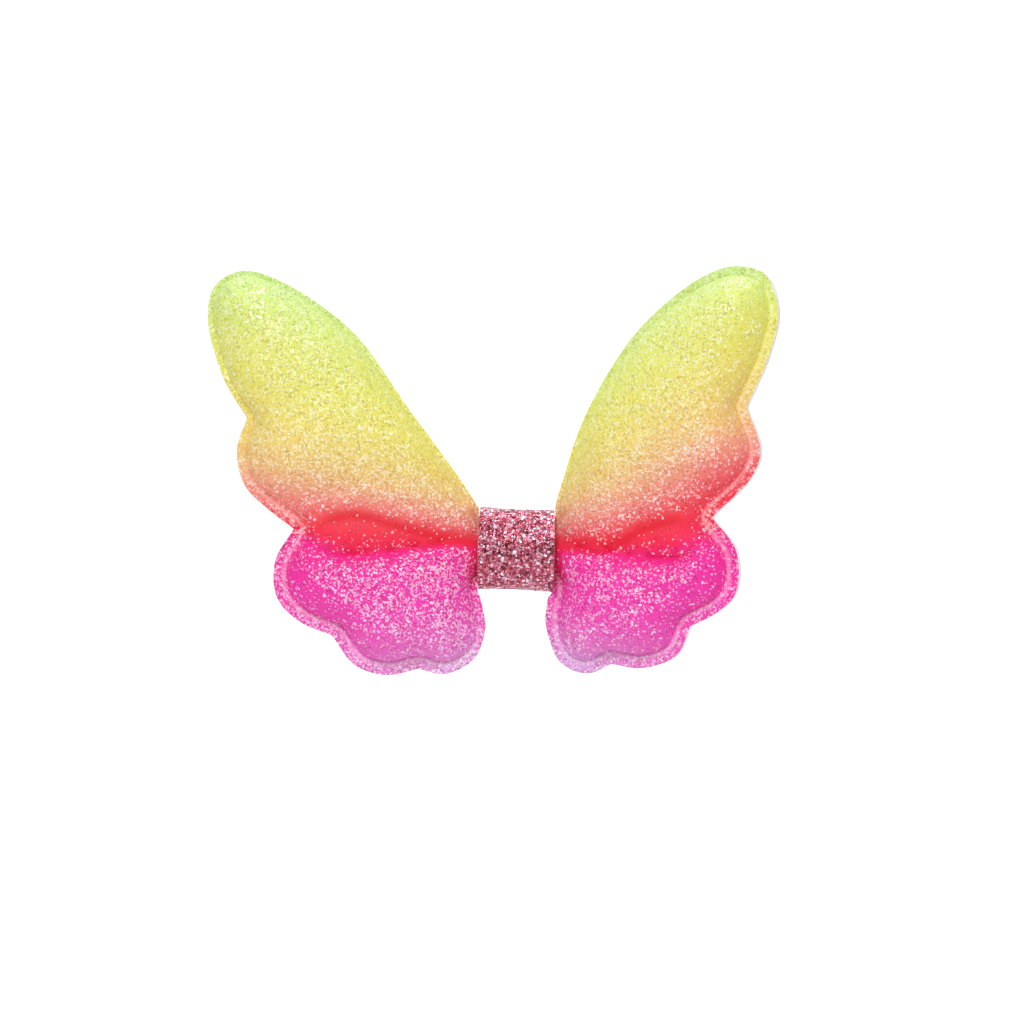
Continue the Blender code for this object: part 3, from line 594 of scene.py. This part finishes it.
def backing_felt():
    """Pale non-woven fabric: bonded dots, matted fibres and the weld's line round the rim."""
    g = Graph("backing_fabric")
    place = g.place()
    fibres = g.add("TexNoise", {"Vector": place, "Scale": 2600.0, "Detail": 6.0, "Roughness": 0.7})
    threads = g.add("TexWave", {"Vector": place, "Scale": 900.0, "Distortion": 14.0, "Detail": 3.0}, out=1)
    across, up = g.attribute("across"), g.attribute("up")
    lattice = g.add("CombineXYZ", {0: g.math("ADD", across, up), 1: g.math("SUBTRACT", across, up)})
    dots = g.add("TexVoronoi", {"Vector": lattice, "Scale": 1 / BONDED_DOTS, "Randomness": 0.0},
                 voronoi_dimensions="2D")
    pressed = g.between(dots, 0.26, 0.17)
    weld = g.between(g.attribute("seam"), 0.1 * MM, -0.3 * MM)
    shade = g.math("ADD", g.math("MULTIPLY", fibres, 0.6), g.math("MULTIPLY", threads, 0.25))
    colour = g.mix(shade, (0.58, 0.50, 0.55), (0.74, 0.68, 0.72))
    colour = g.mix(g.math("MULTIPLY", pressed, 0.5), colour, (0.48, 0.41, 0.46))
    height = g.math("SUBTRACT", shade, g.math("ADD", g.math("MULTIPLY", pressed, 0.7), weld))
    g.shade(Base_Color=colour, Roughness=0.9, Sheen_Weight=0.3, Sheen_Roughness=0.5,
            Normal=g.bump(height, 0.09 * MM))
    return g.material


def wadding():
    """White matted polyester fibres."""
    g = Graph("wadding")
    place = g.place()
    fibres = g.add("TexNoise", {"Vector": place, "Scale": 1800.0, "Detail": 8.0, "Roughness": 0.75})
    colour = g.mix(fibres, (0.78, 0.78, 0.78), (0.97, 0.97, 0.97))
    g.shade(Base_Color=colour, Roughness=1.0, Sheen_Weight=0.4, Normal=g.bump(fibres, 0.3 * MM))
    return g.material


def band_glitter():
    """Chunky glitter on leatherette: rose, white and wine flakes, with finer ones in the gaps between."""
    g = Graph("glitter_leatherette")
    middle, tilt, chance, shade, tone = g.cells(CHUNKY_FLAKE)
    _, small_tilt, small_chance, _, _ = g.cells(FILLING_FLAKE, 0.17)
    rose = g.ramp(chance, [(0.0, (0.12, 0.012, 0.018)), (0.3, (0.36, 0.05, 0.07)), (0.6, (0.70, 0.13, 0.19)),
                           (0.80, (0.86, 0.34, 0.48)), (0.92, (0.98, 0.72, 0.87)), (1.0, (1.0, 0.95, 0.98))])
    fine = g.ramp(small_chance, [(0.0, (0.15, 0.015, 0.03)), (0.7, (0.62, 0.13, 0.23)),
                                 (1.0, (0.97, 0.78, 0.90))])
    gap = g.between(middle, 0.42, 0.60)
    colour = g.mix(gap, rose, fine)
    turned = g.mix(gap, tilt, small_tilt)
    height = g.math("MULTIPLY", shade, 0.6)
    raised = g.bump(g.math("SUBTRACT", height, g.math("MULTIPLY", gap, 0.7)), 0.10 * MM)
    rough = g.add("MapRange", {"Value": tone, "To Min": 0.12, "To Max": 0.30})
    g.shade(Base_Color=colour, Metallic=0.85, Roughness=rough, Normal=g.tilted(turned, 0.30, raised),
            Coat_Weight=0.1, Coat_Roughness=0.12)
    return g.material


def band_edge():
    """The leatherette's woven back and cut edge."""
    g = Graph("leatherette_edge")
    grain = g.add("TexNoise", {"Vector": g.place(), "Scale": 5000.0, "Detail": 4.0})
    colour = g.mix(grain, (0.60, 0.28, 0.34), (0.80, 0.52, 0.57))
    g.shade(Base_Color=colour, Roughness=0.75, Normal=g.bump(grain, 0.06 * MM))
    return g.material


def nickel():
    """Plated steel with fine scratches and duller patches."""
    g = Graph("nickel_steel")
    place = g.place()
    clouds = g.add("TexNoise", {"Vector": place, "Scale": 260.0, "Detail": 4.0})
    stretched = g.vector("MULTIPLY", place, (400.0, 9000.0, 9000.0))
    scratches = g.add("TexNoise", {"Vector": stretched, "Scale": 1.0, "Detail": 3.0, "Roughness": 0.6})
    colour = g.mix(clouds, (0.40, 0.39, 0.375), (0.62, 0.61, 0.60))
    rough = g.math("ADD", g.math("MULTIPLY", clouds, 0.22), g.math("MULTIPLY", scratches, 0.20))
    g.shade(Base_Color=colour, Metallic=1.0, Roughness=rough, Normal=g.bump(scratches, 0.03 * MM))
    return g.material


def thread_plies():
    """Sewing thread with its twist."""
    g = Graph("sewing_thread")
    twist = g.add("TexWave", {"Vector": g.place(), "Scale": 1400.0, "Distortion": 1.0}, out=1,
                  bands_direction="DIAGONAL")
    colour = g.mix(twist, (0.55, 0.03, 0.18), (0.90, 0.14, 0.40))
    g.shade(Base_Color=colour, Roughness=0.55, Sheen_Weight=0.4, Normal=g.bump(twist, 0.04 * MM))
    return g.material


def milky_glue():
    """Hot glue, cloudy and slightly see-through."""
    g = Graph("hot_glue")
    clouds = g.add("TexNoise", {"Vector": g.place(), "Scale": 500.0, "Detail": 3.0})
    colour = g.mix(clouds, (0.80, 0.77, 0.68), (0.95, 0.93, 0.88))
    g.shade(Base_Color=colour, Roughness=0.32, Subsurface_Weight=0.35, Subsurface_Scale=0.0008,
            Normal=g.bump(clouds, 0.15 * MM))
    return g.material


def grosgrain():
    """Ribbed ribbon: fine ribs across it, warp threads along it."""
    g = Graph("grosgrain_ribbon")
    place = g.place()
    ribs = g.add("TexWave", {"Vector": place, "Scale": 520.0}, out=1, bands_direction="X")
    warp = g.add("TexWave", {"Vector": place, "Scale": 1500.0}, out=1, bands_direction="Z")
    fuzz = g.add("TexNoise", {"Vector": place, "Scale": 3500.0, "Detail": 4.0})
    shade = g.math("MULTIPLY", g.math("ADD", ribs, g.math("MULTIPLY", fuzz, 0.5)), 0.66)
    colour = g.mix(shade, (0.60, 0.05, 0.24), (0.88, 0.20, 0.46))
    threads = g.math("ADD", g.math("MULTIPLY", warp, 0.25), g.math("MULTIPLY", fuzz, 0.15))
    height = g.math("ADD", ribs, threads)
    g.shade(Base_Color=colour, Roughness=0.5, Sheen_Weight=0.35, Sheen_Roughness=0.4,
            Normal=g.bump(height, 0.10 * MM))
    return g.material


def strap_faces(rows, columns):
    """Faces of a closed strap made of two skins of points in rows along it: each skin's, and its walls'."""
    total = rows * columns
    first = [(a, a + 1, a + columns + 1, a + columns)
             for i in range(rows - 1) for a in range(i * columns, (i + 1) * columns - 1)]
    second = [tuple(v + total for v in quad[::-1]) for quad in first]
    walls = []
    for i in range(rows - 1):
        for j, turn in ((0, 1), (columns - 1, -1)):
            a, b = i * columns + j, (i + 1) * columns + j
            walls.append((a, b, b + total, a + total)[::turn])
    for j in range(columns - 1):
        for i, turn in ((0, -1), (rows - 1, 1)):
            a, b = i * columns + j, i * columns + j + 1
            walls.append((a, b, b + total, a + total)[::turn])
    return first, second, walls


# ------------------------------------------------------------------ the band

BAND_WIDTH = 10.0 * MM
BAND_THICKNESS = 0.8 * MM
BAND_CENTRE_Y = -2.6 * MM
BAND_BACK = 2.8 * MM
BAND_FRONT = 3.75 * MM
BAND_HALF_HEIGHT = 4.45 * MM
BAND_POWERS = (5.0, 2.2)
BAND_LAP = math.radians(25)
BAND_LAP_RAMP = math.radians(40)
BAND_LAP_GAP = 0.3 * MM
BAND_FLARE = 0.045
BAND_TAPER = 0.015
BAND_LEAN = 0.11 * MM
BAND_TILT = 0.04
FLAKE = 0.5 * MM
FLAKE_RELIEF = 0.10 * MM


def rounded_loop(angle, back, front, half_height, powers):
    """(y, z) on a loop with a squarer back and a rounder front, from angle 0 in the middle of its back."""
    c, s = math.cos(angle), math.sin(angle)
    depth, power = (back, powers[0]) if c >= 0 else (front, powers[1])
    y, z = depth * abs(c) ** (2 / power), half_height * abs(s) ** (2 / power)
    return math.copysign(y, c), math.copysign(z, s)


def band_point(angle, x):
    """The band's inner face, which steps outwards where its last stretch laps over its first."""
    y, z = rounded_loop(angle, BAND_BACK, BAND_FRONT, BAND_HALF_HEIGHT, BAND_POWERS)
    flare = 1 + BAND_FLARE * (2 * x / BAND_WIDTH) ** 2
    y, z = y * (flare if y < 0 else 1), z * flare
    share = float(rise((angle - 2 * math.pi + BAND_LAP) / BAND_LAP_RAMP + 1))
    if angle > math.pi and share > 0:
        lift = (BAND_THICKNESS + BAND_LAP_GAP) * share
        outwards = Vector((y / BAND_BACK**2, z / BAND_HALF_HEIGHT**2)).normalized()
        outwards = outwards.lerp(Vector((1.0, 0.0)), share).normalized()
        y, z = y + lift * outwards.x, z + lift * outwards.y
    bulge = 1 - BAND_TAPER * (z / BAND_HALF_HEIGHT) ** 2
    leaning = BAND_LEAN * (1 - z / BAND_HALF_HEIGHT)
    return Vector((x * bulge - leaning, BAND_CENTRE_Y + y, z - BAND_TILT * x))


def flake_height(point):
    """Relief of the glitter: every flake is a small plate at its own tilt and height."""
    distances, middles = noise.voronoi(point / FLAKE)
    own = noise.cell_vector(middles[0] * 7.31)
    plate = (point / FLAKE - middles[0]).dot(own - Vector((0.5, 0.5, 0.5)))
    gap = 0.5 * float(rise((0.25 - (distances[1] - distances[0])) / 0.25))
    return FLAKE_RELIEF * (own.x - 0.6 + 1.2 * plate - gap)


def band(glitter, edge):
    """The strip wound once round the waist, its ends lapped at the back."""
    around, across = 420, 84
    angles = np.linspace(-BAND_LAP, 2 * math.pi + BAND_LAP, around + 1)
    xs = np.linspace(-0.5, 0.5, across + 1) * BAND_WIDTH
    inner, outer = [], []
    for angle in angles:
        for x in xs:
            point = band_point(angle, x)
            along = band_point(angle + 0.01, x) - band_point(angle - 0.01, x)
            sideways = band_point(angle, x + 0.05 * MM) - band_point(angle, x - 0.05 * MM)
            outwards = sideways.cross(along).normalized()
            if outwards.dot(point - Vector((x, BAND_CENTRE_Y, 0))) < 0:
                outwards = -outwards
            skin = point + BAND_THICKNESS * outwards
            hem = float(rise((0.5 - abs(x) / BAND_WIDTH) / 0.02))
            inner.append(point)
            outer.append(skin + hem * flake_height(skin) * outwards)
    back, front, walls = strap_faces(around + 1, across + 1)
    obj = mesh_piece("glitter_band", inner + outer, back + front + walls, [glitter, edge], 50)
    obj.data.polygons.foreach_set("material_index", [1] * len(back) + [0] * len(front) + [1] * len(walls))
    return obj


# ------------------------------------------------------------------ tubes: the spring and the thread

def tube(name, points, radius, finish, around=16):
    """A round bar along these points, with closed ends."""
    points = [Vector(p) for p in points]
    ring, verts = None, []
    for i, point in enumerate(points):
        ahead = points[min(i + 1, len(points) - 1)] - points[max(i - 1, 0)]
        ahead.normalize()
        if ring is None:
            ring = ahead.orthogonal().normalized()
        ring = (ring - ahead * ring.dot(ahead)).normalized()
        other = ahead.cross(ring)
        for k in range(around):
            a = 2 * math.pi * k / around
            verts.append(point + radius * (math.cos(a) * ring + math.sin(a) * other))
    faces = []
    for i in range(len(points) - 1):
        for k in range(around):
            a, b = i * around + k, i * around + (k + 1) % around
            faces.append((a, b, b + around, a + around))
    faces.append(tuple(range(around))[::-1])
    faces.append(tuple(range(len(verts) - around, len(verts))))
    return mesh_piece(name, verts, faces, [finish], 60)


PIN = Vector((10.0 * MM, 1.9 * MM, 0))
SPRING_WIRE = 0.5 * MM
SPRING_RADIUS = 1.36 * MM
SPRING_WINDINGS = 4
SPRING_HALF_LENGTH = 1.3 * MM
SPRING_LEG = 7.2 * MM
HANDLE_ANGLE = math.radians(16)
LOWER_JAW_TILT = math.radians(6.5)


def spring(finish):
    """Coil round the rivet with a leg inside each handle."""
    lower_angle = HANDLE_ANGLE + LOWER_JAW_TILT
    upper_leg = Vector((math.cos(HANDLE_ANGLE), -math.sin(HANDLE_ANGLE), 0))
    lower_leg = Vector((math.cos(lower_angle), math.sin(lower_angle), 0))
    start = -(math.pi / 2 + HANDLE_ANGLE)
    turn = 2 * math.pi * SPRING_WINDINGS - math.pi - HANDLE_ANGLE - lower_angle
    count = 150
    coil = []
    for i in range(count + 1):
        angle = start - turn * i / count
        coil.append(Vector((SPRING_RADIUS * math.cos(angle), SPRING_RADIUS * math.sin(angle),
                            SPRING_HALF_LENGTH * (1 - 2 * i / count))))
    first = [coil[0] + upper_leg * SPRING_LEG * s for s in (1.0, 0.75, 0.5, 0.25)]
    last = [coil[-1] + lower_leg * SPRING_LEG * s for s in (0.25, 0.5, 0.75, 1.0)]
    points = [PIN + p for p in (*first, *coil, *last)]
    obj = tube("torsion_spring", points, SPRING_WIRE / 2, finish)
    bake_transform(obj)
    return obj


THREAD = 0.35 * MM
THREAD_TURNS = 5
THREAD_PITCH = 0.8 * MM
THREAD_CENTRE_Y = -3.0 * MM
THREAD_BACK = 0.65 * MM
THREAD_FRONT = 2.9 * MM
THREAD_HALF_HEIGHT = 3.85 * MM
THREAD_POWERS = (5.0, 2.3)


def thread(finish):
    """The gathering thread's turns round the waist, side by side under the band."""
    per_turn = 60
    points = []
    for i in range(THREAD_TURNS * per_turn + 1):
        turns = i / per_turn
        y, z = rounded_loop(2 * math.pi * turns, THREAD_BACK, THREAD_FRONT, THREAD_HALF_HEIGHT, THREAD_POWERS)
        points.append(((turns - THREAD_TURNS / 2) * THREAD_PITCH, THREAD_CENTRE_Y + y, z))
    return tube("gathering_thread", points, THREAD / 2, finish, 12)


# ------------------------------------------------------------------ the ribbon round the upper jaw

STEEL = 0.6 * MM
JAW_MIDDLE_Y = -0.7 * MM
RIBBON = 0.3 * MM
RIBBON_HALF_WIDTH = 3.3 * MM
RIBBON_END_X = 6.8 * MM
RIBBON_TIP_X = -22.2 * MM
RIB_PITCH = 0.55 * MM
RIB_DEPTH = 0.05 * MM


def ribbon(finish):
    """Ribbed ribbon along the jaw's front, round its tip and back along the grip, with plain selvedges."""
    away = STEEL / 2 + 0.1 * MM + RIBBON / 2
    bend = [(RIBBON_TIP_X - away * math.sin(a), -away * math.cos(a), math.sin(a), math.cos(a))
            for a in np.linspace(0, math.pi, 25)]
    step = RIB_PITCH / 4
    front = [(x, -away, 0.0, 1.0) for x in np.arange(RIBBON_END_X, RIBBON_TIP_X + step / 2, -step)]
    back = [(x, away, 0.0, -1.0) for x in np.arange(RIBBON_TIP_X + step, RIBBON_END_X - 1 * MM, step)]
    path = front + bend[1:] + back
    shares = np.array((-1.0, -0.97, -0.92, -0.88, *np.linspace(-0.8, 0.8, 9), 0.88, 0.92, 0.97, 1.0))
    lengths = np.cumsum([0.0] + [math.hypot(b[0] - a[0], b[1] - a[1]) for a, b in zip(path, path[1:])])
    outer, inner = [], []
    for (x, y, nx, ny), along in zip(path, lengths):
        rib = RIB_DEPTH * (0.5 - 0.5 * math.cos(2 * math.pi * along / RIB_PITCH))
        for share in shares:
            hem = 0.6 * RIB_DEPTH if abs(share) > 0.9 else rib
            half = RIBBON / 2 * (0.55 if abs(share) == 1 else 1)
            z = share * RIBBON_HALF_WIDTH
            for side, rows in ((1, outer), (-1, inner)):
                reach = side * (half - hem)
                rows.append((x - nx * reach, JAW_MIDDLE_Y + y - ny * reach, z))
    face, lining, walls = strap_faces(len(path), len(shares))
    return mesh_piece("jaw_ribbon", outer + inner, face + lining + walls, [finish], 60)


# ------------------------------------------------------------------ assembly

def dress_nodes(steel, glue):
    """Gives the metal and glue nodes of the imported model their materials."""
    for name, finish in (("clip_upper_jaw", steel), ("clip_lower_jaw", steel), ("clip_rivet", steel),
                         ("band_glue", glue), ("clip_glue_pad", glue)):
        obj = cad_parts[name]
        obj.data.materials.clear()
        obj.data.materials.append(finish)
        obj.data.shade_smooth()
        obj.data.set_sharp_from_angle(angle=math.radians(35))


def wings():
    """The printed front cloth, the wadding and the backing, all cut from one pattern."""
    pattern = Pattern(MESH_STEP)
    rim_top = BACK_CLOTH + LAYER_GAP + FRONT_CLOTH
    dome = puff(pattern)
    wrinkles = sum(lumps(pattern.flat, size, depth, seed) for size, depth, seed in WRINKLES)
    dome = dome + wrinkles * rise(pattern.seam / (3 * MM))
    facts = {"print_place": print_place(pattern.flat), "seam": pattern.seam, "weld": pattern.weld(),
             "glitter_and_painted_light": glitter_and_painted_light(pattern, dome), "painted_crease_shade": painted_crease_shade(pattern), "across": pattern.flat[:, 0],
             "up": pattern.flat[:, 1]}
    cover = layer_piece("wing_front", pattern, rim_top - FRONT_CLOTH + 0.92 * dome, rim_top + dome,
                        [printed_glitter(), cut_edge()], facts)
    backing = layer_piece("wing_back", pattern, np.zeros(len(dome)), np.full(len(dome), BACK_CLOTH),
                          [backing_felt(), cut_edge()], facts)
    filling = layer_piece("wing_wadding", pattern, np.full(len(dome), BACK_CLOTH + LAYER_GAP),
                          rim_top - FRONT_CLOTH - LAYER_GAP + 0.9 * dome, [wadding(), wadding()], {},
                          0.7 * MM)
    for piece, node, slot in ((cover, "wing_cover", "glitter_fabric"), (filling, "wing_padding", "wadding"),
                              (backing, "wing_backing", "backing_fabric")):
        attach(piece, "wings")
        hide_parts(node)


def light(name, place, size, power, target=(0, 0, 0.005), spread=180):
    """A square lamp this wide, aimed at the target, with its spread in degrees."""
    data = bpy.data.lights.new(name, "AREA")
    data.spread = math.radians(spread)
    data.size = size
    data.energy = power
    obj = bpy.data.objects.new(name, data)
    obj.location = place
    obj.rotation_euler = (Vector(target) - Vector(place)).to_track_quat("-Z", "Y").to_euler()
    bpy.context.scene.collection.objects.link(obj)


def room():
    """A pale room, brighter towards its ceiling."""
    world = bpy.data.worlds.new("room")
    world.use_nodes = True
    tree = world.node_tree
    place = tree.nodes.new("ShaderNodeTexCoord")
    split = tree.nodes.new("ShaderNodeSeparateXYZ")
    level = tree.nodes.new("ShaderNodeMapRange")
    level.inputs["From Min"].default_value = -0.6
    level.inputs["To Min"].default_value = 0.30
    level.inputs["To Max"].default_value = 0.66
    tree.links.new(place.outputs["Generated"], split.inputs[0])
    tree.links.new(split.outputs["Z"], level.inputs["Value"])
    tree.links.new(level.outputs[0], tree.nodes["Background"].inputs["Strength"])
    tree.nodes["Background"].inputs["Color"].default_value = (1, 1, 1, 1)
    return world


def studio():
    """The camera at the photograph's angle, the lamps, the room and the floor."""
    scene = bpy.context.scene
    scene.view_settings.view_transform = "Standard"
    camera = bpy.data.objects.new("camera", bpy.data.cameras.new("camera"))
    camera.data.lens = 160.3
    camera.data.sensor_width = 36.0
    camera.data.clip_start = 0.01
    camera.location = (-0.66 * MM, -0.6, 4.9 * MM)
    camera.rotation_euler = (math.pi / 2, 0, 0)
    scene.collection.objects.link(camera)
    scene.camera = camera
    scene.world = room()
    light("key", (-0.15, -0.65, 0.51), 0.20, 0.37, spread=60)
    light("fill", (0.60, -0.6, 0.16), 0.5, 0.085, spread=60)
    light("top", (0.0, 0.16, 0.8), 0.5, 0.36, spread=60)
    light("backdrop", (0.0, 0.25, 0.45), 0.5, 4.2, (0, 0.9, 0.2))
    backdrop()


def backdrop():
    """Floor that sweeps up into a wall."""
    bend, reach, wall = 0.35, 0.75, 1.6
    profile = [(-1.6, 0.0), (reach - bend, 0.0)]
    profile += [(reach - bend + bend * math.sin(a), bend - bend * math.cos(a))
                for a in np.linspace(0, math.pi / 2, 24)]
    profile.append((reach, wall))
    floor = -0.078
    points = [(x, y, z + floor) for y, z in profile for x in (-1.8, 1.8)]
    faces = [(2 * i, 2 * i + 1, 2 * i + 3, 2 * i + 2) for i in range(len(profile) - 1)]
    g = Graph("studio_paper")
    grain = g.add("TexNoise", {"Vector": g.place(), "Scale": 300.0, "Detail": 2.0})
    g.shade(Base_Color=g.mix(grain, (0.88, 0.88, 0.88), (0.90, 0.90, 0.90)), Roughness=0.95)
    obj = mesh_piece("floor", points, faces, [g.material])


def main():
    studio()
    steel = nickel()
    dress_nodes(steel, milky_glue())
    wings()
    for piece, node, slot in ((band(band_glitter(), band_edge()), "centre_band", "glitter_leatherette"),
                              (thread(thread_plies()), "waist_thread", "thread"),
                              (ribbon(grosgrain()), "clip_ribbon", "ribbon")):
        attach(piece, "wings")
        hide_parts(node)
    coil = spring(steel)
    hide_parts("clip_spring")


main()
